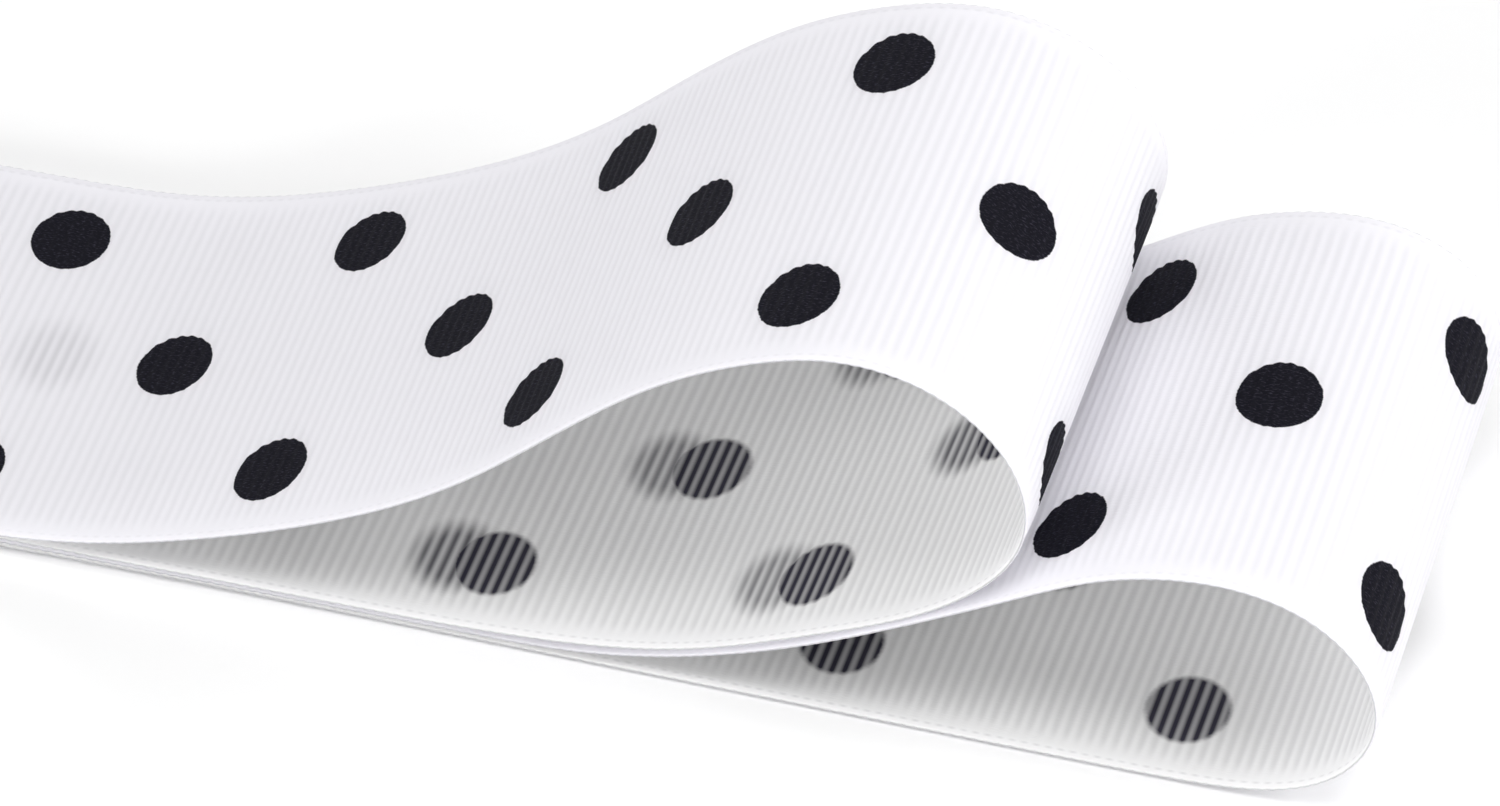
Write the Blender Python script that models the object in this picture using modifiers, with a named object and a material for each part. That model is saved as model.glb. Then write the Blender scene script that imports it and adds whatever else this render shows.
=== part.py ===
"""A length of grosgrain ribbon lying in back-and-forth folds.

One woven strip, 38 mm wide and 0.687 m long, runs right along the surface, turns up and over in the
lower loop, runs back left on itself, folds back on the left, runs right again, turns over in the
upper loop and comes back left to its top end.

Frame: X runs along the ribbon, Y across it (near edge to far edge), Z is up. The origin is the centre
of the bounding box, at the height of the surface that the ribbon lies on. Sizes are in metres.
"""

from collections import namedtuple

import bmesh
import bpy
import numpy as np

MM = 0.001

# ---- driving sizes ------------------------------------------------------------------------------
RIBBON_WIDTH = 38.0 * MM        # a 1 1/2 inch ribbon, selvedge to selvedge
CLOTH_THICKNESS = 1.0 * MM      # the solid is thicker than the woven cloth, so that it can be built
LAYER_GAP = 0.35 * MM           # air between two layers that lie on each other
BLEND = 8.0 * MM                # length over which one bend eases into the next
BLEND_SAMPLES = 9               # values averaged over that length
FINE_STEP = 0.5 * MM            # step of the sum that turns bends into a path
FOLD_STEP = 2.4 * MM            # length of one facet in a fold

# One stretch of the ribbon: its length, how far the near and the far edge turn along it (degrees,
# positive is anticlockwise from the near side), and where the near edge lies sideways at its end.
# A bend of None closes the fold's half turn.
Stretch = namedtuple("Stretch", "name length_mm near_deg far_deg sideways_mm")

BOTTOM_LEG = (
    Stretch("bottom leg, left half", 83.2, 0.0, 0.0, 0.3),
    Stretch("bottom leg, right half", 83.2, 0.0, 0.0, -0.5),
)
LOWER_LOOP = (
    Stretch("turn up", 8.0, 6.0, 13.0, -0.55),
    Stretch("outer side, low", 15.0, 76.5, 68.0, -0.6),
    Stretch("outer side, high", 18.0, 96.0, 102.0, -0.6),
    Stretch("shoulder", 14.0, 34.5, 33.0, -0.5),
    Stretch("slope", 20.0, -3.5, -3.5, -0.4),
    Stretch("ease", 15.0, -11.0, -20.5, -0.2),
    Stretch("settle", 14.0, None, None, 0.0),
)
SECOND_LEG = (Stretch("second leg", 106.7, 0.0, 0.0, 0.2),)
BACK_FOLD = (
    Stretch("turn", 17.0, -205.0, -205.0, 0.2),
    Stretch("slope", 18.0, 0.0, 0.0, 0.1),
    Stretch("settle", 10.0, None, None, 0.0),
)
THIRD_LEG = (Stretch("third leg", 70.2, 0.0, 0.0, -0.05),)
UPPER_LOOP = (
    Stretch("lift", 14.0, 6.5, 4.5, -0.1),
    Stretch("rise", 14.0, 18.5, 17.0, -0.2),
    Stretch("rise, eased", 12.0, 1.5, 8.5, -0.2),
    Stretch("curl", 12.5, 24.0, 21.5, -0.3),
    Stretch("outer side, low", 16.0, 73.0, 75.0, -0.4),
    Stretch("outer side, high", 16.0, 74.5, 67.5, -0.4),
    Stretch("crown", 18.0, 24.0, 25.5, -0.4),
    Stretch("slope", 12.0, 1.5, 4.5, -0.4),
    Stretch("hollow", 17.0, -15.5, -15.0, -0.4),
    Stretch("hollow, low", 21.0, -11.0, -11.0, -0.4),
    Stretch("settle", 15.0, None, None, -0.4),
)
TOP_LEG = (Stretch("top leg", 27.0, 0.0, 0.0, -0.4),)
SIDEWAYS_AT_START_MM = -1.2

# The whole ribbon in order: its stretches, and the half turn that a fold makes (0 for a leg).
Run = namedtuple("Run", "name stretches half_turn_deg")
RIBBON = (
    Run("bottom leg", BOTTOM_LEG, 0.0),
    Run("lower loop", LOWER_LOOP, 180.0),
    Run("second leg", SECOND_LEG, 0.0),
    Run("back fold", BACK_FOLD, -180.0),
    Run("third leg", THIRD_LEG, 0.0),
    Run("upper loop", UPPER_LOOP, 180.0),
    Run("top leg", TOP_LEG, 0.0),
)

# ---- finish --------------------------------------------------------------------------------------
RIBBON_COLOUR = (0.86, 0.86, 0.87, 1.0)
RIBBON_ROUGHNESS = 0.6


# ---- the path of the ribbon ------------------------------------------------------------------------
def bends_of(run, edge):
    """The bends of a run's stretches along one edge, with the closing one worked out."""
    stated = [getattr(stretch, edge) for stretch in run.stretches]
    closing = run.half_turn_deg - sum(bend for bend in stated if bend is not None)
    return [closing if bend is None else bend for bend in stated]


def marks():
    """Distance along the ribbon, turn of each edge and sideways place at the end of every stretch."""
    along, near, far, sideways = [0.0], [0.0], [0.0], [SIDEWAYS_AT_START_MM * MM]
    for run in RIBBON:
        for stretch, near_bend, far_bend in zip(
            run.stretches, bends_of(run, "near_deg"), bends_of(run, "far_deg")
        ):
            along.append(along[-1] + stretch.length_mm * MM)
            near.append(near[-1] + near_bend)
            far.append(far[-1] + far_bend)
            sideways.append(stretch.sideways_mm * MM)
    return np.array(along), np.array(near), np.array(far), np.array(sideways)


def run_spans():
    """Where each run starts and ends along the ribbon."""
    spans, start = [], 0.0
    for run in RIBBON:
        end = start + sum(stretch.length_mm for stretch in run.stretches) * MM
        spans.append((run, start, end))
        start = end
    return spans


def eased(distance, along, values, width):
    """Values that change stretch by stretch, averaged over a short width so that they flow."""
    offsets = np.linspace(-0.5, 0.5, BLEND_SAMPLES) * width
    return np.mean([np.interp(distance + offset, along, values) for offset in offsets], axis=0)


def edge_profile(distance, along, turned):
    """X and Z of one edge: the eased turns summed up, and each leg brought to its layer's height."""
    middle = (distance[1:] + distance[:-1]) / 2
    heading = np.radians(eased(middle, along, turned, BLEND))
    length = np.diff(distance)
    x = np.concatenate([[0.0], np.cumsum(np.cos(heading) * length)])
    z = np.concatenate([[0.0], np.cumsum(np.sin(heading) * length)]) + CLOTH_THICKNESS / 2
    spans = run_spans()
    raised = z.copy()
    for number in range(1, len(spans) - 1, 2):
        before, fold, after = spans[number - 1 : number + 2]
        rise = np.interp((after[1] + after[2]) / 2, distance, z) - np.interp(
            (before[1] + before[2]) / 2, distance, z
        )
        share = np.clip((distance - fold[1]) / (fold[2] - fold[1]), 0.0, 1.0)
        raised += (CLOTH_THICKNESS + LAYER_GAP - rise) * share * share * (3 - 2 * share)
    return x, raised


def stations():
    """Where the strip is divided: closely in a fold, and only at a stretch's end in a flat leg."""
    places = {0.0}
    for run, start, end in run_spans():
        if run.half_turn_deg:
            first, last = start - BLEND / 2, end + BLEND / 2
            count = round((last - first) / FOLD_STEP)
            places.update(np.linspace(first, last, count + 1))
        elif len(run.stretches) > 1:
            places.add(start + run.stretches[0].length_mm * MM)
    places.add(end)
    return np.array(sorted(places))


def ribbon_edges():
    """Points of the near and the far edge of the ribbon's middle surface, at every station."""
    along, near_turn, far_turn, sideways = marks()
    steps = round(along[-1] / FINE_STEP)
    distance = np.linspace(0.0, along[-1], steps + 1)
    places = stations()
    y = np.interp(places, distance, eased(distance, along, sideways, 2 * BLEND))
    edges = []
    for turned, across in ((near_turn, 0.0), (far_turn, RIBBON_WIDTH)):
        x, z = edge_profile(distance, along, turned)
        edges.append(
            np.column_stack(
                [np.interp(places, distance, x), y + across, np.interp(places, distance, z)]
            )
        )
    return edges


# ---- the solid -------------------------------------------------------------------------------------
def ribbon_material():
    material = bpy.data.materials.new("white_grosgrain")
    material.use_nodes = True
    shader = material.node_tree.nodes["Principled BSDF"]
    shader.inputs["Base Color"].default_value = RIBBON_COLOUR
    shader.inputs["Roughness"].default_value = RIBBON_ROUGHNESS
    shader.inputs["Metallic"].default_value = 0.0
    return material


def ribbon_strip():
    """The near edge as a chain of edges, swept across to the far edge."""
    near, far = ribbon_edges()
    mesh = bmesh.new()
    chain = [mesh.verts.new(point) for point in near]
    edges = [mesh.edges.new(pair) for pair in zip(chain[:-1], chain[1:])]
    swept = bmesh.ops.extrude_edge_only(mesh, edges=edges)["geom"]
    order = {tuple(vertex.co): number for number, vertex in enumerate(chain)}
    for vertex in (item for item in swept if isinstance(item, bmesh.types.BMVert)):
        vertex.co = far[order[tuple(vertex.co)]]
    bmesh.ops.recalc_face_normals(mesh, faces=mesh.faces)
    for face in mesh.faces:
        face.smooth = True
    for edge in mesh.edges:
        edge.smooth = not edge.is_boundary
    return mesh


def add_ribbon(collection):
    mesh = bpy.data.meshes.new("ribbon")
    strip = ribbon_strip()
    strip.to_mesh(mesh)
    strip.free()
    ribbon = bpy.data.objects.new("ribbon", mesh)
    collection.objects.link(ribbon)
    mesh.materials.append(ribbon_material())
    solid = ribbon.modifiers.new("cloth thickness", "SOLIDIFY")
    solid.thickness = CLOTH_THICKNESS
    solid.offset = 0.0
    solid.use_even_offset = True
    return ribbon


def centre_on_origin(ribbon):
    """Move the ribbon so that its box is centred on the origin and it stands at height 0."""
    depsgraph = bpy.context.evaluated_depsgraph_get()
    solid = ribbon.evaluated_get(depsgraph).to_mesh()
    points = np.array([vertex.co for vertex in solid.vertices])
    low, high = points.min(axis=0), points.max(axis=0)
    shift = np.array([-(low[0] + high[0]) / 2, -(low[1] + high[1]) / 2, -low[2]])
    for vertex in ribbon.data.vertices:
        vertex.co = np.array(vertex.co) + shift
    print("ribbon box, mm:", ((high - low) / MM).round(2), "shift, mm:", (shift / MM).round(3))


def main():
    for thing in list(bpy.data.objects):
        bpy.data.objects.remove(thing, do_unlink=True)
    collection = bpy.data.collections.new("grosgrain_ribbon")
    bpy.context.scene.collection.children.link(collection)
    ribbon = add_ribbon(collection)
    centre_on_origin(ribbon)


main()
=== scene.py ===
# %% [markdown]
# # A length of polka dot grosgrain ribbon, lying in folds
#
# Grosgrain is a narrow cloth. Thick weft cords lie across it and fine warp threads run along it and
# wrap the cords, so both faces show a row of ribs from edge to edge. Along both edges the ribs die
# out in a smooth band, the selvedge, where the weft turns back. This length is white, with black
# dots printed on one face, and it lies in back-and-forth folds with two open loops at the right.
#
# The plan: work out the path that the cloth takes, lay a sheet along it, weave the ribs into the
# sheet with Geometry Nodes, dye and print it with a procedural material, and light it softly.

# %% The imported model, which is the frame that everything here is built in
import math
from collections import namedtuple

import bmesh
import bpy
import numpy as np
from mathutils import Matrix, Vector


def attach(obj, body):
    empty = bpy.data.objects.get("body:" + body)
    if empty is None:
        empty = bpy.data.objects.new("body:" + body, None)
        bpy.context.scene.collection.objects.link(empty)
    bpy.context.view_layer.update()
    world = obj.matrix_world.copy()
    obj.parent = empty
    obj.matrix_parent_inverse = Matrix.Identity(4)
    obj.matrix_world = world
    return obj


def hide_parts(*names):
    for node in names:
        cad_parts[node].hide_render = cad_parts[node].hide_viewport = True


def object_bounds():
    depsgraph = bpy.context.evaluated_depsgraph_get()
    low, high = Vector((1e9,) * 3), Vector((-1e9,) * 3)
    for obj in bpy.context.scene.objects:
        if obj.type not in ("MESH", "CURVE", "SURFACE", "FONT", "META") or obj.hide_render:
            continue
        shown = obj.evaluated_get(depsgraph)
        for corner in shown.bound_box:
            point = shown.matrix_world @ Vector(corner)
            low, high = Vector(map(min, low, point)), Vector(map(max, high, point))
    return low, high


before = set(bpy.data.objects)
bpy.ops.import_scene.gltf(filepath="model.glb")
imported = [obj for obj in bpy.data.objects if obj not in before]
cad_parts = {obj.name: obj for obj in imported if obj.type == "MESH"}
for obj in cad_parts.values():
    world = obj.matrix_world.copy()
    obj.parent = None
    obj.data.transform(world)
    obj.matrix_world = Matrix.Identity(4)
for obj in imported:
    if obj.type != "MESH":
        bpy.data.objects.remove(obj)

MM = 0.001
CAD_LOW, CAD_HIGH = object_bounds()
print("packed model, mm:", [round(value / MM, 1) for value in CAD_HIGH - CAD_LOW])

# %% [markdown]
# ## The sizes of the cloth
#
# A stock 1 1/2 inch ribbon: 38 mm from selvedge to selvedge, a bit under half a millimetre thick,
# with about 27 ribs to the inch. The dots are 6.5 mm across, in three rows, and the middle row is
# set half a repeat along. The print starts anywhere on the roll, so it has a starting distance of
# its own. The repeat and that distance were fitted by a separate program, and the dots' size, the
# place of the outer rows and the rib pitch are rounded from its results.

# %% Driving sizes, in metres
RIBBON_WIDTH = 38.0 * MM
CLOTH_THICKNESS = 0.45 * MM     # over the tops of the ribs
LAYER_GAP = 0.10 * MM           # air between two layers that lie on each other
RIB_PITCH = 0.955 * MM
RIB_DEPTH = 0.10 * MM           # from a rib's top down to the groove beside it, on each face
SELVEDGE_WIDTH = 2.0 * MM
SELVEDGE_THICKNESS = 0.26 * MM
PICOT_REACH = 0.08 * MM         # how far each weft turn stands out of the edge

DOT_DIAMETER = 6.5 * MM
DOT_REPEAT = 27.42 * MM
DOT_START = 222.56 * MM         # one dot of the outer rows, measured from the bottom cut end
ROW_OFFSET = 12.35 * MM         # from the middle row to an outer row
print("ribs to the inch:", round(25.4 * MM / RIB_PITCH, 1))

# %% [markdown]
# ## The path of the folds
#
# Folded cloth is easiest to describe as a walk along it: how long each stretch is, and how far it
# turns. The near edge and the far edge turn a little differently, which gives the loops their
# slight twist. The bends are eased into each other and summed up, and each fold's last bend closes
# its half turn, so the legs between the folds always lie flat. This is the same path as the packed
# model's, at the cloth's real thickness, so its layers lie closer together.
#
# Most of the values in the table weren't chosen by hand. The bends of both loops, the lengths of
# the upper loop and of the three lower legs, and four of the lower loop's lengths were fitted by a
# separate program and rounded. So were the sideways places, apart from some filled in between.
# The back fold, the top leg and the lower loop's first three lengths were set one by one.

# %% The stretches of the ribbon, from its bottom cut end
# Length, how far the near and the far edge turn (degrees, anticlockwise from the near side), and
# where the near edge lies sideways at the stretch's end. A bend of None closes the half turn.
Stretch = namedtuple("Stretch", "name length_mm near_deg far_deg sideways_mm")

BOTTOM_LEG = (
    Stretch("bottom leg, left half", 83.2, 0.0, 0.0, 0.3),
    Stretch("bottom leg, right half", 83.2, 0.0, 0.0, -0.5),
)
LOWER_LOOP = (
    Stretch("turn up", 8.0, 6.0, 13.0, -0.55),
    Stretch("outer side, low", 15.0, 76.5, 68.0, -0.6),
    Stretch("outer side, high", 18.0, 96.0, 102.0, -0.6),
    Stretch("shoulder", 14.0, 34.5, 33.0, -0.5),
    Stretch("slope", 20.0, -3.5, -3.5, -0.4),
    Stretch("ease", 15.0, -11.0, -20.5, -0.2),
    Stretch("settle", 14.0, None, None, 0.0),
)
SECOND_LEG = (Stretch("second leg", 106.7, 0.0, 0.0, 0.2),)
BACK_FOLD = (
    Stretch("turn", 17.0, -205.0, -205.0, 0.2),
    Stretch("slope", 18.0, 0.0, 0.0, 0.1),
    Stretch("settle", 10.0, None, None, 0.0),
)
THIRD_LEG = (Stretch("third leg", 70.2, 0.0, 0.0, -0.05),)
UPPER_LOOP = (
    Stretch("lift", 14.0, 6.5, 4.5, -0.1),
    Stretch("rise", 14.0, 18.5, 17.0, -0.2),
    Stretch("rise, eased", 12.0, 1.5, 8.5, -0.2),
    Stretch("curl", 12.5, 24.0, 21.5, -0.3),
    Stretch("outer side, low", 16.0, 73.0, 75.0, -0.4),
    Stretch("outer side, high", 16.0, 74.5, 67.5, -0.4),
    Stretch("crown", 18.0, 24.0, 25.5, -0.4),
    Stretch("slope", 12.0, 1.5, 4.5, -0.4),
    Stretch("hollow", 17.0, -15.5, -15.0, -0.4),
    Stretch("hollow, low", 21.0, -11.0, -11.0, -0.4),
    Stretch("settle", 15.0, None, None, -0.4),
)
TOP_LEG = (Stretch("top leg", 27.0, 0.0, 0.0, -0.4),)
SIDEWAYS_AT_START_MM = -1.2

Run = namedtuple("Run", "name stretches half_turn_deg")
RIBBON = (
    Run("bottom leg", BOTTOM_LEG, 0.0),
    Run("lower loop", LOWER_LOOP, 180.0),
    Run("second leg", SECOND_LEG, 0.0),
    Run("back fold", BACK_FOLD, -180.0),
    Run("third leg", THIRD_LEG, 0.0),
    Run("upper loop", UPPER_LOOP, 180.0),
    Run("top leg", TOP_LEG, 0.0),
)
RIBBON_LENGTH = sum(stretch.length_mm for run in RIBBON for stretch in run.stretches) * MM
print("ribbon:", round(RIBBON_LENGTH / MM, 1), "mm long")

# %% Stations: five to every rib, so that a groove always falls on one
RIB_COUNT = round(RIBBON_LENGTH / RIB_PITCH)
STEPS_PER_RIB = 5
RIB_PITCH = RIBBON_LENGTH / RIB_COUNT
ALONG = np.linspace(0.0, RIBBON_LENGTH, RIB_COUNT * STEPS_PER_RIB + 1)
print("ribs:", RIB_COUNT, "pitch, mm:", round(RIB_PITCH / MM, 4), "stations:", len(ALONG))

# %% The turns along each edge, and where each run starts and ends
BLEND = 8.0 * MM                # length over which one bend eases into the next
BLEND_SAMPLES = 9


def bends_of(run, edge):
    stated = [getattr(stretch, edge) for stretch in run.stretches]
    closing = run.half_turn_deg - sum(bend for bend in stated if bend is not None)
    return [closing if bend is None else bend for bend in stated]


def marks():
    """Distance along the ribbon, turn of each edge and sideways place at every stretch's end."""
    along, near, far, sideways = [0.0], [0.0], [0.0], [SIDEWAYS_AT_START_MM * MM]
    for run in RIBBON:
        bends = zip(run.stretches, bends_of(run, "near_deg"), bends_of(run, "far_deg"))
        for stretch, near_bend, far_bend in bends:
            along.append(along[-1] + stretch.length_mm * MM)
            near.append(near[-1] + near_bend)
            far.append(far[-1] + far_bend)
            sideways.append(stretch.sideways_mm * MM)
    return along, near, far, sideways


def run_spans():
    spans, start = [], 0.0
    for run in RIBBON:
        end = start + sum(stretch.length_mm for stretch in run.stretches) * MM
        spans.append((start, end))
        start = end
    return spans


def eased(distance, along, values, width):
    offsets = np.linspace(-0.5, 0.5, BLEND_SAMPLES) * width
    return np.mean([np.interp(distance + offset, along, values) for offset in offsets], axis=0)


for run, (start, end) in zip(RIBBON, run_spans()):
    print(f"{run.name:12s} {start / MM:6.1f} to {end / MM:6.1f} mm")

# %% The near and the far edge of the ribbon's middle surface
STAND = Vector((CAD_LOW.x, CAD_LOW.y - SIDEWAYS_AT_START_MM * MM, CAD_LOW.z))


def edge_profile(along, turned):
    """X and Z of one edge: the turns summed up, and each leg brought to its layer's height."""
    heading = np.radians(eased((ALONG[1:] + ALONG[:-1]) / 2, along, turned, BLEND))
    length = np.diff(ALONG)
    x = np.concatenate([[0.0], np.cumsum(np.cos(heading) * length)])
    z = np.concatenate([[0.0], np.cumsum(np.sin(heading) * length)]) + CLOTH_THICKNESS / 2
    spans = run_spans()
    raised = z.copy()
    for number in range(1, len(spans) - 1, 2):      # every second run is a fold
        before, fold, after = spans[number - 1 : number + 2]
        rise = np.interp(sum(after) / 2, ALONG, z) - np.interp(sum(before) / 2, ALONG, z)
        share = np.clip((ALONG - fold[0]) / (fold[1] - fold[0]), 0.0, 1.0)
        raised += (CLOTH_THICKNESS + LAYER_GAP - rise) * share * share * (3 - 2 * share)
    return x, raised


def ribbon_edges():
    along, near_turn, far_turn, sideways = marks()
    y = eased(ALONG, along, sideways, 2 * BLEND)
    edges = []
    for turned, across in ((near_turn, 0.0), (far_turn, RIBBON_WIDTH)):
        x, z = edge_profile(along, turned)
        edges.append(np.column_stack([x, y + across, z]) + np.array(STAND))
    return edges


NEAR_EDGE, FAR_EDGE = ribbon_edges()
for name, edge in (("near edge", NEAR_EDGE), ("far edge", FAR_EDGE)):
    print(name, "reaches, mm:", (edge.max(axis=0) / MM).round(1))


# %% The direction in which the printed face looks, at each station
def printed_normals(edge):
    travel = np.gradient(edge, ALONG, axis=0)
    across = FAR_EDGE - NEAR_EDGE
    normal = -np.cross(travel, across)
    return normal / np.linalg.norm(normal, axis=1)[:, None]


NEAR_NORMAL, FAR_NORMAL = printed_normals(NEAR_EDGE), printed_normals(FAR_EDGE)
print("printed face at the top cut end looks along:", NEAR_NORMAL[-1].round(2))

# %% [markdown]
# ## Which layer lies behind which
#
# White ribbon is thin enough for the dots of the next layer to show through as pale shadows, but
# only where the two layers touch. So each station looks out of its printed face and out of its
# plain face, and notes how far along the ribbon the next layer is there and how much air lies
# between.

# %% The next layer beyond each face
REACH = 3.0 * MM                # a layer further off than this doesn't show through
NOT_A_NEIGHBOUR = 12.0 * MM     # less than this along the ribbon is the same layer, bending
STRAIGHT_OUT = 0.7              # cosine of the widest angle from straight out that counts
NOTHING_THERE = 1.0             # a distance far past every layer
TOUCHING = 0.3 * MM
BATCH = 400                     # stations that are held against all the others at a time


def layer_beyond(middle, normal):
    """Along-distance of the next layer out of one face, and the air between, per station."""
    beyond, air = np.zeros(len(ALONG)), np.full(len(ALONG), REACH)
    for first in range(0, len(ALONG), BATCH):
        rows = slice(first, first + BATCH)
        offset = middle[None, :, ::2] - middle[rows, None, ::2]
        distance = np.linalg.norm(offset, axis=2)
        outward = (offset * normal[rows, None, ::2]).sum(axis=2)
        other = np.abs(ALONG[None] - ALONG[rows, None]) > NOT_A_NEIGHBOUR
        ahead = outward > STRAIGHT_OUT * distance
        distance = np.where(other & ahead, distance, NOTHING_THERE)
        nearest = distance.argmin(axis=1)
        beyond[rows] = ALONG[nearest]
        gap = distance[np.arange(len(nearest)), nearest] - CLOTH_THICKNESS
        air[rows] = np.clip(gap, 0.0, REACH)
    return beyond, air


MIDDLE = (NEAR_EDGE + FAR_EDGE) / 2
MIDDLE_NORMAL = NEAR_NORMAL + FAR_NORMAL
MIDDLE_NORMAL /= np.linalg.norm(MIDDLE_NORMAL, axis=1)[:, None]
BEYOND_PRINT, AIR_AT_PRINT = layer_beyond(MIDDLE, MIDDLE_NORMAL)
BEYOND_BACK, AIR_AT_BACK = layer_beyond(MIDDLE, -MIDDLE_NORMAL)
for face, air in (("printed", AIR_AT_PRINT), ("plain", AIR_AT_BACK)):
    print(f"a layer touches {float((air < TOUCHING).mean()):.0%} of the {face} face")

# %% [markdown]
# ## The edge chain
#
# The weaving tree needs one thing to follow: a chain of vertices down the near edge, each of which
# also carries the matching point of the far edge and the facts just worked out.

# %% A chain with one vertex per station
FLOAT_FACTS = {
    "along": ALONG,
    "beyond_print": BEYOND_PRINT,
    "air_at_print": AIR_AT_PRINT,
    "beyond_back": BEYOND_BACK,
    "air_at_back": AIR_AT_BACK,
}
VECTOR_FACTS = {"far_edge": FAR_EDGE, "near_normal": NEAR_NORMAL, "far_normal": FAR_NORMAL}


def edge_chain():
    mesh = bpy.data.meshes.new("edge chain")
    count = len(ALONG)
    mesh.from_pydata(NEAR_EDGE, [(number, number + 1) for number in range(count - 1)], [])
    for name, values in FLOAT_FACTS.items():
        mesh.attributes.new(name, "FLOAT", "POINT").data.foreach_set("value", values)
    for name, values in VECTOR_FACTS.items():
        attribute = mesh.attributes.new(name, "FLOAT_VECTOR", "POINT")
        attribute.data.foreach_set("vector", values.ravel())
    chain = bpy.data.objects.new("ribbon_cloth", mesh)
    bpy.context.scene.collection.objects.link(chain)
    return chain


chain = edge_chain()
print("chain:", len(chain.data.vertices), "vertices")


# %% [markdown]
# ## Weaving the ribs
#
# On the real cloth each rib is one weft cord with the warp bent over it, so a section along the
# ribbon is a row of round humps with narrow grooves between. A bump in the material would leave the
# open edges of the loops smooth, so the ribs are real shape. A power of |sin| of the distance along
# gives the humps, and one tree can follow the whole path with it. The tree lays a grid between the
# two edges, lifts it to the printed face and drops a copy to the plain face, puts the humps on
# both, lets them die out at the thinner selvedges, and merges the two faces at the rim. Its columns
# crowd towards the selvedges, because that is where the section changes.

# %% Helpers that add a node and fill in its inputs
def add_node(tree, kind, values=None, **settings):
    """A node with its settings, and its inputs filled, by name or number, with values or links."""
    node = tree.nodes.new(kind)
    for name, value in settings.items():
        setattr(node, name, value)
    for key, value in (values or {}).items():
        if isinstance(value, bpy.types.NodeSocket):
            tree.links.new(value, node.inputs[key])
        else:
            node.inputs[key].default_value = value
    return node


def maths(tree, operation, *values):
    node = add_node(tree, "ShaderNodeMath", dict(enumerate(values)), operation=operation)
    return node.outputs[0]


def vectors(tree, operation, *values):
    node = add_node(tree, "ShaderNodeVectorMath", dict(enumerate(values)), operation=operation)
    return node.outputs[0]


def ramp(tree, value, start, end, low=0.0, high=1.0):
    """A smooth step from low at start to high at end."""
    node = add_node(
        tree,
        "ShaderNodeMapRange",
        {"Value": value, "From Min": start, "From Max": end, "To Min": low, "To Max": high},
        interpolation_type="SMOOTHSTEP",
    )
    return node.outputs["Result"]


# %% The weaving tree's inputs, and helpers that read and store facts
TREE_INPUTS = (
    ("Ribbon Width", "NodeSocketFloat", RIBBON_WIDTH),
    ("Cloth Thickness", "NodeSocketFloat", CLOTH_THICKNESS),
    ("Rib Pitch", "NodeSocketFloat", RIB_PITCH),
    ("Rib Depth", "NodeSocketFloat", RIB_DEPTH),
    ("Rib Roundness", "NodeSocketFloat", 1.4),
    ("Rib Evenness", "NodeSocketFloat", 0.8),
    ("Selvedge Width", "NodeSocketFloat", SELVEDGE_WIDTH),
    ("Selvedge Thickness", "NodeSocketFloat", SELVEDGE_THICKNESS),
    ("Picot Reach", "NodeSocketFloat", PICOT_REACH),
    ("Columns", "NodeSocketInt", 14),
    ("Seed", "NodeSocketInt", 7),
)


def new_tree():
    tree = bpy.data.node_groups.new("grosgrain weave", "GeometryNodeTree")
    sockets = tree.interface
    sockets.new_socket("Geometry", in_out="INPUT", socket_type="NodeSocketGeometry")
    for name, kind, value in TREE_INPUTS:
        sockets.new_socket(name, in_out="INPUT", socket_type=kind).default_value = value
    sockets.new_socket("Cloth", in_out="INPUT", socket_type="NodeSocketMaterial")
    sockets.new_socket("Geometry", in_out="OUTPUT", socket_type="NodeSocketGeometry")
    return tree


def from_chain(tree, given, station, kind, name=None):
    """A fact of the chain, read at this station. Without a name it is the near edge's place."""
    if name:
        source = add_node(tree, "GeometryNodeInputNamedAttribute", {"Name": name}, data_type=kind)
    else:
        source = add_node(tree, "GeometryNodeInputPosition")
    sample = add_node(
        tree,
        "GeometryNodeSampleIndex",
        {"Geometry": given["Geometry"], "Value": source.outputs[0], "Index": station},
        data_type=kind,
    )
    return sample.outputs[0]


def stored(tree, geometry, name, value, domain="POINT"):
    node = add_node(
        tree,
        "GeometryNodeStoreNamedAttribute",
        {"Geometry": geometry, "Name": name, "Value": value},
        data_type="FLOAT",
        domain=domain,
    )
    return node.outputs[0]


def between(tree, first, second, share):
    """A vector that goes from the first to the second as share goes from 0 to 1."""
    return vectors(tree, "MULTIPLY_ADD", vectors(tree, "SUBTRACT", second, first), share, first)


def to_nearer_end(tree, place, last):
    """How far a place between 0 and last lies from the nearer of the two."""
    return maths(tree, "MINIMUM", place, maths(tree, "SUBTRACT", last, place))


# %% The grid: a row of vertices to each station, a vertex to each column
Grid = namedtuple("Grid", "mesh station column last_station last_column")


def station_grid(tree, given):
    columns = given["Columns"]
    size = add_node(tree, "GeometryNodeAttributeDomainSize", {"Geometry": given["Geometry"]})
    stations = size.outputs["Point Count"]
    grid = add_node(tree, "GeometryNodeMeshGrid", {"Vertices X": stations, "Vertices Y": columns})
    index = add_node(tree, "GeometryNodeInputIndex").outputs[0]
    station = maths(tree, "FLOOR", maths(tree, "DIVIDE", maths(tree, "ADD", index, 0.5), columns))
    column = maths(tree, "SUBTRACT", index, maths(tree, "MULTIPLY", station, columns))
    last_station = maths(tree, "SUBTRACT", stations, 1.0)
    last_column = maths(tree, "SUBTRACT", columns, 1.0)
    return Grid(grid.outputs["Mesh"], station, column, last_station, last_column)


# %% The middle surface of the cloth, between the two edges
Surface = namedtuple("Surface", "middle normal outward share across inwards")


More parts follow.
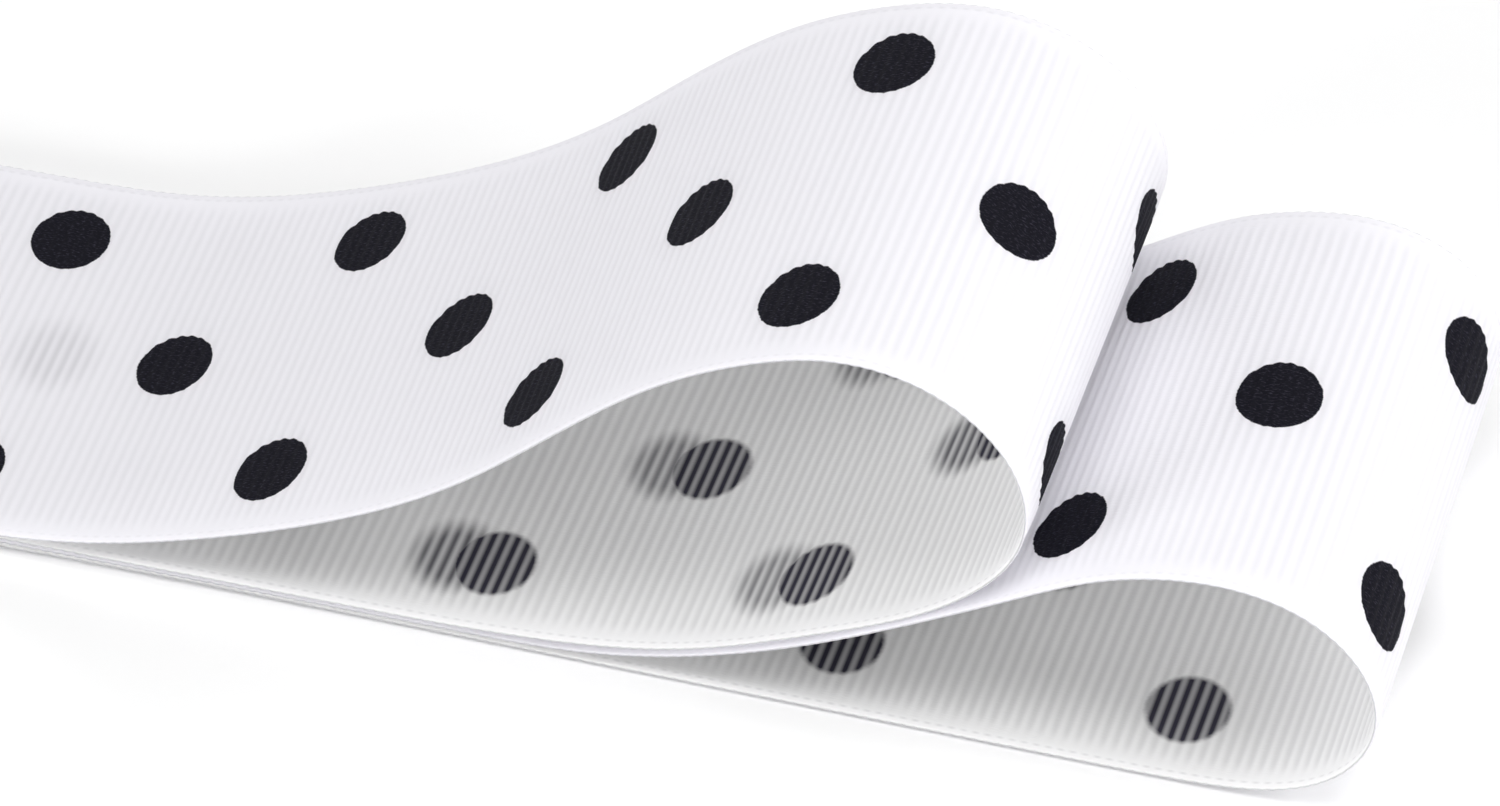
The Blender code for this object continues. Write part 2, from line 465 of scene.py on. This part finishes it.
def middle_surface(tree, given, grid):
    """Each vertex's place between the edges, with the columns crowded towards both selvedges."""
    even = maths(tree, "DIVIDE", grid.column, grid.last_column)
    swing = maths(tree, "SINE", maths(tree, "MULTIPLY", even, math.tau))
    share = maths(tree, "SUBTRACT", even, maths(tree, "DIVIDE", swing, math.tau))
    near_edge = from_chain(tree, given, grid.station, "FLOAT_VECTOR")
    far_edge, near_normal, far_normal = [
        from_chain(tree, given, grid.station, "FLOAT_VECTOR", name) for name in VECTOR_FACTS
    ]
    middle = between(tree, near_edge, far_edge, share)
    normal = vectors(tree, "NORMALIZE", between(tree, near_normal, far_normal, share))
    outward = vectors(tree, "NORMALIZE", vectors(tree, "SUBTRACT", far_edge, near_edge))
    across = maths(tree, "MULTIPLY", share, given["Ribbon Width"])
    inwards = to_nearer_end(tree, across, given["Ribbon Width"])
    return Surface(middle, normal, outward, share, across, inwards)


# %% The ribs: round humps, a little uneven, that die out in the selvedges
RIBS_DIE_OUT = (0.4, 1.35)      # no rib and a full rib, in selvedge widths from the edge


def rib_weight(tree, given, ribs):
    """How deep one rib is, from the evenness up to 1."""
    weight = add_node(
        tree,
        "FunctionNodeRandomValue",
        {"ID": maths(tree, "FLOOR", ribs), "Seed": given["Seed"], 2: given["Rib Evenness"], 3: 1.0},
        data_type="FLOAT",
    )
    return weight.outputs[1]


def ribbed_half(tree, given, grid, surface):
    """Half the thickness of the cloth at each vertex, and how high on its rib the vertex lies."""
    along = from_chain(tree, given, grid.station, "FLOAT", "along")
    ribs = maths(tree, "DIVIDE", along, given["Rib Pitch"])
    wave = maths(tree, "ABSOLUTE", maths(tree, "SINE", maths(tree, "MULTIPLY", ribs, math.pi)))
    hump = maths(tree, "POWER", wave, given["Rib Roundness"])
    start, end = [maths(tree, "MULTIPLY", given["Selvedge Width"], part) for part in RIBS_DIE_OUT]
    woven = ramp(tree, surface.inwards, start, end)
    depth = maths(tree, "MULTIPLY", maths(tree, "MULTIPLY", given["Rib Depth"], woven),
                  rib_weight(tree, given, ribs))
    groove = maths(tree, "MULTIPLY", maths(tree, "SUBTRACT", 1.0, hump), depth)
    thin = maths(tree, "DIVIDE", given["Selvedge Thickness"], 2.0)
    thick = maths(tree, "DIVIDE", given["Cloth Thickness"], 2.0)
    full = add_node(
        tree, "ShaderNodeMapRange", {"Value": woven, "To Min": thin, "To Max": thick}
    )
    return maths(tree, "SUBTRACT", full.outputs["Result"], groove), hump


# %% The rim, where the two faces meet: the first and last column, and the two cut ends
def closed_rim(tree, given, grid, surface, half, hump):
    """Half the thickness, brought to nothing at the rim, and the middle with its weft turns."""
    to_side = to_nearer_end(tree, grid.column, grid.last_column)
    to_end = to_nearer_end(tree, grid.station, grid.last_station)
    inside = maths(tree, "GREATER_THAN", maths(tree, "MINIMUM", to_side, to_end), 0.5)
    at_side = maths(tree, "LESS_THAN", to_side, 0.5)
    side = maths(tree, "SIGN", maths(tree, "SUBTRACT", surface.share, 0.5))
    picot = maths(tree, "MULTIPLY", maths(tree, "MULTIPLY", hump, given["Picot Reach"]),
                  maths(tree, "MULTIPLY", at_side, side))
    middle = vectors(tree, "MULTIPLY_ADD", surface.outward, picot, surface.middle)
    return maths(tree, "MULTIPLY", half, inside), middle


# %% The two faces, with the facts that the dye and the print need
MERGE_DISTANCE = 0.001 * MM


def with_facts(tree, given, grid, surface):
    cloth = stored(tree, grid.mesh, "across", surface.across)
    for name in FLOAT_FACTS:
        cloth = stored(tree, cloth, name, from_chain(tree, given, grid.station, "FLOAT", name))
    return cloth


def two_faces(tree, cloth, middle, normal, half):
    """The printed face, turned to look out, and the plain face, merged into one at the rim."""
    faces = []
    for side, printed in ((1.0, 1.0), (-1.0, 0.0)):
        place = vectors(tree, "MULTIPLY_ADD", normal, maths(tree, "MULTIPLY", half, side), middle)
        face = add_node(tree, "GeometryNodeSetPosition", {"Geometry": cloth, "Position": place})
        faces.append(stored(tree, face.outputs[0], "printed", printed, domain="FACE"))
    faces[0] = add_node(tree, "GeometryNodeFlipFaces", {"Mesh": faces[0]}).outputs[0]
    joined = add_node(tree, "GeometryNodeJoinGeometry")
    for face in faces:
        tree.links.new(face, joined.inputs[0])
    closed = add_node(
        tree,
        "GeometryNodeMergeByDistance",
        {"Geometry": joined.outputs[0], "Distance": MERGE_DISTANCE},
    )
    return closed.outputs[0]


# %% The whole weave, from the chain to the dyed cloth
def weave_tree():
    tree = new_tree()
    given = add_node(tree, "NodeGroupInput").outputs
    grid = station_grid(tree, given)
    surface = middle_surface(tree, given, grid)
    half, hump = ribbed_half(tree, given, grid, surface)
    half, middle = closed_rim(tree, given, grid, surface, half, hump)
    cloth = with_facts(tree, given, grid, surface)
    cloth = two_faces(tree, cloth, middle, surface.normal, half)
    smooth = add_node(tree, "GeometryNodeSetShadeSmooth", {"Geometry": cloth})
    realized = add_node(tree, "GeometryNodeRealizeInstances", {"Geometry": smooth.outputs[0]})
    dyed = add_node(
        tree,
        "GeometryNodeSetMaterial",
        {"Geometry": realized.outputs[0], "Material": given["Cloth"]},
    )
    add_node(tree, "NodeGroupOutput", {"Geometry": dyed.outputs[0]})
    return tree


weave = weave_tree()
print("weaving tree:", len(weave.nodes), "nodes")

# %% [markdown]
# ## Dye and print
#
# The ribbon is woven white and printed on one face. A painted map could carry the dots, but a rule
# stays sharp however close one looks. The material reads two lengths that the cloth carries with
# it: how far along the ribbon a point lies, and how far across. The dots follow from those, so they
# bend with every fold. Ink sits on the printed face and sinks into the grooves, so from the plain
# face each dot shows as a grey shadow with dark lines in its grooves. The next layer's dots show
# the same way, fainter and softer. The cloth is thin, so a part of the light goes through it and
# fills the insides of the loops.
# The grooves and the rim of the ribbon are also darkened in the colour, as painted shade.

# %% The colours, the gloss and the light that goes through
PRINT_WHITE = (0.948, 0.939, 0.980, 1.0)
PLAIN_WHITE = (0.972, 0.972, 0.967, 1.0)
INK = (0.0045, 0.0043, 0.0100, 1.0)
THIN_INK = (0.040, 0.038, 0.058, 1.0)   # where the ink lies thin on a thread
# The colour that seen-through ink, and the painted shade in the grooves and at the rim, darken
# towards.
SHOWN_INK_AND_PAINTED_SHADE = (0.034, 0.031, 0.050, 1.0)  # ink seen through the cloth, and any other shade on it
ROUGHNESS = 0.7
SPECULAR_LEVEL = 0.15
LIGHT_THROUGH = 0.28            # the share of the light that each face lets through

# How much of the white a groove and the ribbon's rim take away: painted shade, for the shade that
# falls in the grooves and on the rims.
PRINT_PAINTED_GROOVE_SHADE = 0.065
PLAIN_PAINTED_GROOVE_SHADE = 0.14
PAINTED_RIM_SHADE = 0.45
RIM_WIDTH = 0.11 * MM

# How much of a dot shows through the cloth: on a rib's top, and what a groove adds to that.
OWN_DOT_SHOWN = (0.60, 0.32)
NEXT_DOT_SHOWN = (0.38, 0.36)
NEXT_DOT_THROUGH_PRINT = (0.06, 0.09)

# How soft a dot's rim is: printed, seen through its own cloth, and seen through the next layer too,
# from its plain face and from its printed face.
INK_EDGE = 0.05 * MM
OWN_DOT_EDGE = 0.32 * MM
NEXT_DOT_EDGE = 1.2 * MM
NEXT_DOT_EDGE_THROUGH_PRINT = 1.7 * MM

# How much air between two layers hides the next layer's dots, and how little lets them show in full.
AIR_THAT_HIDES = 1.3 * MM
AIR_THAT_SHOWS = 0.1 * MM
print("white of the printed face:", PRINT_WHITE[:3], "and of the plain face:", PLAIN_WHITE[:3])


# %% How far a point lies from the centre of the nearest dot
def dot_distance(tree, along, across):
    """The outer rows stand side by side along the ribbon, the middle row half a repeat on."""
    repeats = maths(tree, "DIVIDE", maths(tree, "SUBTRACT", along, DOT_START), DOT_REPEAT)
    from_middle = maths(tree, "SUBTRACT", across, RIBBON_WIDTH / 2)
    from_outer = maths(tree, "SUBTRACT", maths(tree, "ABSOLUTE", from_middle), ROW_OFFSET)
    found = []
    for shift, sideways in ((0.5, from_outer), (0.0, from_middle)):
        place = maths(tree, "FRACT", maths(tree, "ADD", repeats, shift))
        lengthways = maths(tree, "MULTIPLY", maths(tree, "SUBTRACT", place, 0.5), DOT_REPEAT)
        both = add_node(tree, "ShaderNodeCombineXYZ", {"X": lengthways, "Y": sideways})
        length = add_node(
            tree, "ShaderNodeVectorMath", {"Vector": both.outputs[0]}, operation="LENGTH"
        )
        found.append(length.outputs["Value"])
    return maths(tree, "MINIMUM", *found)


# %% Helpers that read a fact of the cloth, mix, and make a grain
def fact(tree, name):
    return add_node(tree, "ShaderNodeAttribute", attribute_name=name).outputs["Fac"]


def mixed(tree, share, first, second):
    """A number or a colour between the first and the second. A Mix has sockets for both kinds."""
    colours = isinstance(second, tuple) or getattr(second, "type", "VALUE") == "RGBA"
    start, result = (6, 2) if colours else (2, 0)
    node = add_node(
        tree,
        "ShaderNodeMix",
        {0: share, start: first, start + 1: second},
        data_type="RGBA" if colours else "FLOAT",
    )
    return node.outputs[result]


def noise(tree, along, across, grain, detail=2.0):
    """A grain that is so long along the ribbon and so wide across it."""
    length, width = grain
    place = add_node(
        tree,
        "ShaderNodeCombineXYZ",
        {"X": maths(tree, "DIVIDE", along, length), "Y": maths(tree, "DIVIDE", across, width)},
    )
    texture = add_node(
        tree,
        "ShaderNodeTexNoise",
        {"Vector": place.outputs[0], "Scale": 1.0, "Detail": detail},
    )
    return texture.outputs[0]


# %% Where the grooves are, and the line of the selvedge
GROOVES_SHOW = (0.35, 1.3)      # no groove and a full groove, in selvedge widths from the edge
SELVEDGE_LINE = 0.28            # where the line lies, in selvedge widths from the edge
SELVEDGE_LINE_EDGE = (0.16 * MM, 0.05 * MM)     # from its middle to where it fades in, and is full


def groove_marks(tree, along, inwards):
    """1 in a groove and 0 on a rib's top: everywhere, where woven, and as the selvedge's dashes."""
    wave = maths(tree, "COSINE", maths(tree, "MULTIPLY", along, math.tau / RIB_PITCH))
    in_groove = maths(tree, "MULTIPLY_ADD", wave, 0.5, 0.5)
    start, end = GROOVES_SHOW
    woven = ramp(tree, inwards, start * SELVEDGE_WIDTH, end * SELVEDGE_WIDTH)
    groove = maths(tree, "MULTIPLY", in_groove, woven)
    from_line = maths(tree, "SUBTRACT", inwards, SELVEDGE_LINE * SELVEDGE_WIDTH)
    line = ramp(tree, maths(tree, "ABSOLUTE", from_line), *SELVEDGE_LINE_EDGE)
    return in_groove, groove, maths(tree, "MULTIPLY", line, in_groove)


# %% The rim of a printed dot, which wanders with the threads and swells on each rib
DOT_SWELL = 0.02 * MM
DOT_WANDER = 0.08 * MM
PATCH_GRAIN = (0.5 * MM, 0.25 * MM)


def beyond_rim(tree, along, across, in_groove):
    """How far a point lies outside the nearest dot."""
    patchy = noise(tree, along, across, PATCH_GRAIN)
    swell = maths(tree, "MULTIPLY_ADD", in_groove, -2 * DOT_SWELL, DOT_SWELL)
    wander = maths(tree, "MULTIPLY_ADD", patchy, 2 * DOT_WANDER, -DOT_WANDER)
    radius = maths(tree, "ADD", maths(tree, "ADD", swell, wander), DOT_DIAMETER / 2)
    return maths(tree, "SUBTRACT", dot_distance(tree, along, across), radius)


# %% The dots that show through the cloth
def shown(tree, outside, softness, groove, share):
    """How much of a dot shows through: more of it in the grooves."""
    on_top, added = share
    ink = ramp(tree, outside, softness, -softness)
    return maths(tree, "MULTIPLY", ink, maths(tree, "MULTIPLY_ADD", groove, added, on_top))


def shown_through(tree, own, across, printed, groove):
    """The next layer's dots on both faces, where it touches, and its own on the plain face."""
    beyond = mixed(tree, printed, fact(tree, "beyond_print"), fact(tree, "beyond_back"))
    air = mixed(tree, printed, fact(tree, "air_at_print"), fact(tree, "air_at_back"))
    touching = ramp(tree, air, AIR_THAT_HIDES, AIR_THAT_SHOWS)
    next_dot = maths(tree, "SUBTRACT", dot_distance(tree, beyond, across), DOT_DIAMETER / 2)
    next_at_back = shown(tree, next_dot, NEXT_DOT_EDGE, groove, NEXT_DOT_SHOWN)
    next_at_print = shown(
        tree, next_dot, NEXT_DOT_EDGE_THROUGH_PRINT, groove, NEXT_DOT_THROUGH_PRINT
    )
    own_at_back = shown(tree, own, OWN_DOT_EDGE, groove, OWN_DOT_SHOWN)
    at_print = maths(tree, "MULTIPLY", next_at_print, touching)
    at_back = maths(tree, "MAXIMUM", own_at_back, maths(tree, "MULTIPLY", next_at_back, touching))
    return mixed(tree, printed, at_back, at_print)


# %% The colour of each face: white cloth with its painted shade and the dots that show through, and the ink over it
SPECKLE_GRAIN = (0.35 * MM, 0.12 * MM)
SPECKLE_RANGE = (0.50, 0.78)    # the noise at which the ink starts to thin, and is thin


def cloth_colour(tree, along, across, printed):
    inwards = to_nearer_end(tree, across, RIBBON_WIDTH)
    in_groove, groove, dash = groove_marks(tree, along, inwards)
    own = beyond_rim(tree, along, across, in_groove)
    # Painted shade in the grooves and on the selvedge's line of small bumps, deeper on the plain
    # face.
    painted_groove_shade = mixed(tree, printed, PLAIN_PAINTED_GROOVE_SHADE, PRINT_PAINTED_GROOVE_SHADE)
    shade = maths(tree, "MULTIPLY", maths(tree, "MAXIMUM", groove, dash), painted_groove_shade)
    # Painted shade along the ribbon's rim, darkest at the very edge.
    rim = ramp(tree, inwards, RIM_WIDTH, 0.0, 0.0, PAINTED_RIM_SHADE)
    shadow = maths(tree, "ADD", maths(tree, "MAXIMUM", shade, rim),
                   shown_through(tree, own, across, printed, groove))
    white = mixed(tree, printed, PLAIN_WHITE, PRINT_WHITE)
    cloth = mixed(tree, shadow, white, SHOWN_INK_AND_PAINTED_SHADE)
    ink = ramp(tree, own, INK_EDGE, -INK_EDGE)
    speckle = ramp(tree, noise(tree, along, across, SPECKLE_GRAIN), *SPECKLE_RANGE)
    speckled_ink = mixed(tree, speckle, INK, THIN_INK)
    return mixed(tree, maths(tree, "MULTIPLY", ink, printed), cloth, speckled_ink)


# %% The fine warp threads, which run along the ribbon and wrap the ribs
THREAD_GRAIN = (0.7 * MM, 0.12 * MM)
THREAD_HEIGHT = 0.05 * MM
THREAD_STRENGTH = 0.35          # the share of that height that shows


def thread_bump(tree, along, across):
    threads = noise(tree, along, across, THREAD_GRAIN, detail=1.0)
    bump = add_node(
        tree,
        "ShaderNodeBump",
        {"Height": threads, "Strength": THREAD_STRENGTH, "Distance": THREAD_HEIGHT},
    )
    return bump.outputs[0]


# %% The material of the printed cloth
def cloth_material():
    material = bpy.data.materials.new("printed grosgrain")
    material.use_nodes = True
    tree = material.node_tree
    along, across = fact(tree, "along"), fact(tree, "across")
    colour = cloth_colour(tree, along, across, fact(tree, "printed"))
    shader = tree.nodes["Principled BSDF"]
    shader.inputs["Roughness"].default_value = ROUGHNESS
    shader.inputs["Specular IOR Level"].default_value = SPECULAR_LEVEL
    tree.links.new(colour, shader.inputs["Base Color"])
    tree.links.new(thread_bump(tree, along, across), shader.inputs["Normal"])
    through = add_node(tree, "ShaderNodeBsdfTranslucent", {"Color": colour})
    cloth_shader = add_node(
        tree,
        "ShaderNodeMixShader",
        {0: LIGHT_THROUGH, 1: shader.outputs[0], 2: through.outputs[0]},
    )
    tree.links.new(cloth_shader.outputs[0], tree.nodes["Material Output"].inputs["Surface"])
    return material


cloth_finish = cloth_material()
print("material:", cloth_finish.name, len(cloth_finish.node_tree.nodes), "nodes")


# %% Weave the cloth and keep the result as a plain mesh
def woven_cloth(chain):
    modifier = chain.modifiers.new("weave", "NODES")
    modifier.node_group = weave
    inputs = [item for item in weave.interface.items_tree if item.in_out == "INPUT"]
    identifiers = {item.name: item.identifier for item in inputs}
    modifier[identifiers["Cloth"]] = cloth_finish
    depsgraph = bpy.context.evaluated_depsgraph_get()
    mesh = bpy.data.meshes.new_from_object(chain.evaluated_get(depsgraph), depsgraph=depsgraph)
    chain.modifiers.clear()
    chain.data = mesh
    mesh.name = "ribbon cloth"
    return chain


def closed_volume(mesh):
    """The volume inside a mesh, which is positive if the mesh is closed and its faces point out."""
    check = bmesh.new()
    check.from_mesh(mesh)
    open_edges = sum(not edge.is_manifold for edge in check.edges)
    volume = check.calc_volume(signed=True)
    check.free()
    print("open edges:", open_edges, "volume, mm3:", round(volume / MM**3))
    return volume


ribbon = woven_cloth(chain)
assert closed_volume(ribbon.data) > 0.0
print("ribbon:", len(ribbon.data.polygons), "faces,", 2 * len(ribbon.data.polygons), "triangles")

# %% [markdown]
# ## A map for the finished cloth
#
# A viewer that can't run this material needs it painted on a flat image. The ribbon is cut into
# rows that fill a square, as a maker would lay out strips on a sheet: three rows for the printed
# face and three for the plain one. A face belongs to the row in which its middle lies, so none is
# torn apart.

# %% Lay both faces of the ribbon out in rows on a square
SHEET_SIZE = 240.0 * MM
ROWS_PER_FACE = 3
ROW_HEIGHT = SHEET_SIZE / (2 * ROWS_PER_FACE)
ROW_LENGTH = RIBBON_LENGTH / ROWS_PER_FACE
ROW_MARGIN = (ROW_HEIGHT - RIBBON_WIDTH) / 2


def read(mesh, name, count):
    values = np.empty(count, np.float32)
    mesh.attributes[name].data.foreach_get("value", values)
    return values


def lay_out(mesh):
    """One UV map: along the ribbon goes right, across it goes up, and each row holds one length."""
    corners = np.empty(len(mesh.loops), np.int32)
    mesh.loops.foreach_get("vertex_index", corners)
    sides = np.empty(len(mesh.polygons), np.int32)
    mesh.polygons.foreach_get("loop_total", sides)
    face = np.repeat(np.arange(len(sides)), sides)
    along = read(mesh, "along", len(mesh.vertices))[corners]
    across = read(mesh, "across", len(mesh.vertices))[corners]
    middle = np.bincount(face, along) / sides
    row = np.clip(middle // ROW_LENGTH, 0, ROWS_PER_FACE - 1)
    plain = read(mesh, "printed", len(sides)) < 0.5
    left = (SHEET_SIZE - ROW_LENGTH) / 2
    places = np.empty((len(corners), 2), np.float32)
    places[:, 0] = (along - (row * ROW_LENGTH)[face] + left) / SHEET_SIZE
    height = ((row + ROWS_PER_FACE * plain) * ROW_HEIGHT)[face]
    places[:, 1] = (height + ROW_MARGIN + across) / SHEET_SIZE
    mesh.uv_layers.new(name="OFBake").data.foreach_set("uv", places.ravel())
    return places


places = lay_out(ribbon.data)
print("map from", places.min(axis=0).round(3), "to", places.max(axis=0).round(3))

# %% [markdown]
# ## Ground, light and camera
#
# White cloth on a white ground only shows by its shading. Softboxes at three heights at the right
# burn out the sides of the loops, and others stand low at the front and the back and reach into the
# loops. The ground is a plain white table, with a plain white surround.
#
# The powers of the softboxes began as the result of a separate fitting program, which also chose
# them out of a wider set. Then two pairs of neighbours were merged, most powers were trimmed and the
# softbox above was added.

# %% Ground
GROUND_SIZE = 2.2
GROUND_GAP = 0.12 * MM          # air under the ribs, so that a line of shadow shows at the edge
GROUND_WHITE = (0.92, 0.92, 0.92, 1.0)
GROUND_ROUGHNESS = 0.9


def white_ground():
    place = (0.0, 0.0, CAD_LOW.z - GROUND_GAP)
    bpy.ops.mesh.primitive_plane_add(size=GROUND_SIZE, location=place)
    ground = bpy.context.object
    ground.name = "ground"
    material = bpy.data.materials.new("white ground")
    material.use_nodes = True
    shader = material.node_tree.nodes["Principled BSDF"]
    shader.inputs["Base Color"].default_value = GROUND_WHITE
    shader.inputs["Roughness"].default_value = GROUND_ROUGHNESS
    shader.inputs["Specular IOR Level"].default_value = 0.0
    ground.data.materials.append(material)
    return ground


ground = white_ground()
print("ground:", GROUND_SIZE, "m wide,", round(GROUND_GAP / MM, 2), "mm below the ribbon")

# %% The softboxes, all at one distance and facing the ribbon
SOFTBOX_DISTANCE = 1.5

# Name, azimuth and elevation (degrees, from +X towards +Y), size (m) and power (W).
SOFTBOXES = (
    ("softbox above", 0.0, 90.0, 0.8, 1.7),
    ("softbox right, high", 345.0, 70.0, 0.6, 8.4),
    ("softbox right", 0.0, 35.0, 0.8, 9.0),
    ("softbox right, low", 0.0, 14.0, 0.6, 5.0),
    ("softbox front, high", 255.0, 70.0, 0.5, 3.8),
    ("softbox front, low", 270.0, 14.0, 0.6, 10.5),
    ("softbox front left, low", 225.0, 14.0, 0.6, 9.6),
    ("softbox back, low", 90.0, 14.0, 0.6, 9.6),
    ("softbox back left, low", 135.0, 14.0, 0.6, 3.8),
)


def add_softbox(name, azimuth, elevation, size, power):
    light = bpy.data.lights.new(name, "AREA")
    light.shape = "SQUARE"
    light.size = size
    light.energy = power
    softbox = bpy.data.objects.new(name, light)
    bpy.context.scene.collection.objects.link(softbox)
    turn, rise = math.radians(azimuth), math.radians(elevation)
    level = math.cos(rise)
    towards = Vector((math.cos(turn) * level, math.sin(turn) * level, math.sin(rise)))
    softbox.location = towards * SOFTBOX_DISTANCE
    softbox.rotation_mode = "QUATERNION"
    softbox.rotation_quaternion = towards.to_track_quat("Z", "Y")


for name, azimuth, elevation, size, power in SOFTBOXES:
    add_softbox(name, azimuth, elevation, size, power)
print("softboxes:", len(SOFTBOXES), "with", round(sum(row[-1] for row in SOFTBOXES), 1), "W in all")


# %% The white surround, and a view that leaves the colours as they are
def backdrop():
    """A plain white surround, which the camera sees beyond the ground and which lights nothing."""
    world = bpy.data.worlds.new("white backdrop")
    world.use_nodes = True
    background = world.node_tree.nodes["Background"]
    background.inputs["Color"].default_value = (1.0, 1.0, 1.0, 1.0)
    background.inputs["Strength"].default_value = 1.0
    bpy.context.scene.world = world
    for ray in ("diffuse", "glossy", "transmission", "scatter"):
        setattr(world.cycles_visibility, ray, False)


backdrop()
bpy.context.scene.view_settings.view_transform = "Standard"
print("world:", bpy.context.scene.world.name)


# %% Camera: a long lens, from the front right and above, a little turned
# In degrees, with the azimuth from -Y towards +X. These three, the distance, the lens and the aim
# along X and Z were fitted by a separate program. The aim along Y is the ribbon's middle.
CAMERA_AZIMUTH = 23.26
CAMERA_ELEVATION = 46.54
CAMERA_ROLL = -6.95
CAMERA_DISTANCE = 0.6354
CAMERA_LENS = 200.0
CAMERA_SEES = (0.05, 20.0)      # the nearest and the furthest that it draws
AIM = Vector((129.72, 19.0, 11.13)) * MM + STAND


def add_camera():
    turn, rise = math.radians(CAMERA_AZIMUTH), math.radians(CAMERA_ELEVATION)
    level = math.cos(rise)
    back = Vector((math.sin(turn) * level, -math.cos(turn) * level, math.sin(rise)))
    data = bpy.data.cameras.new("camera")
    data.lens = CAMERA_LENS
    data.clip_start, data.clip_end = CAMERA_SEES
    camera = bpy.data.objects.new("camera", data)
    bpy.context.scene.collection.objects.link(camera)
    upright = back.to_track_quat("Z", "Y").to_matrix()
    turned = upright @ Matrix.Rotation(math.radians(CAMERA_ROLL), 3, "Z")
    camera.matrix_world = Matrix.LocRotScale(AIM + back * CAMERA_DISTANCE, turned, None)
    bpy.context.scene.camera = camera
    return camera


camera = add_camera()
print("camera at, mm:", [round(value / MM) for value in camera.matrix_world.translation])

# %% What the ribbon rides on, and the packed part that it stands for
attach(ribbon, "root")
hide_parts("ribbon")
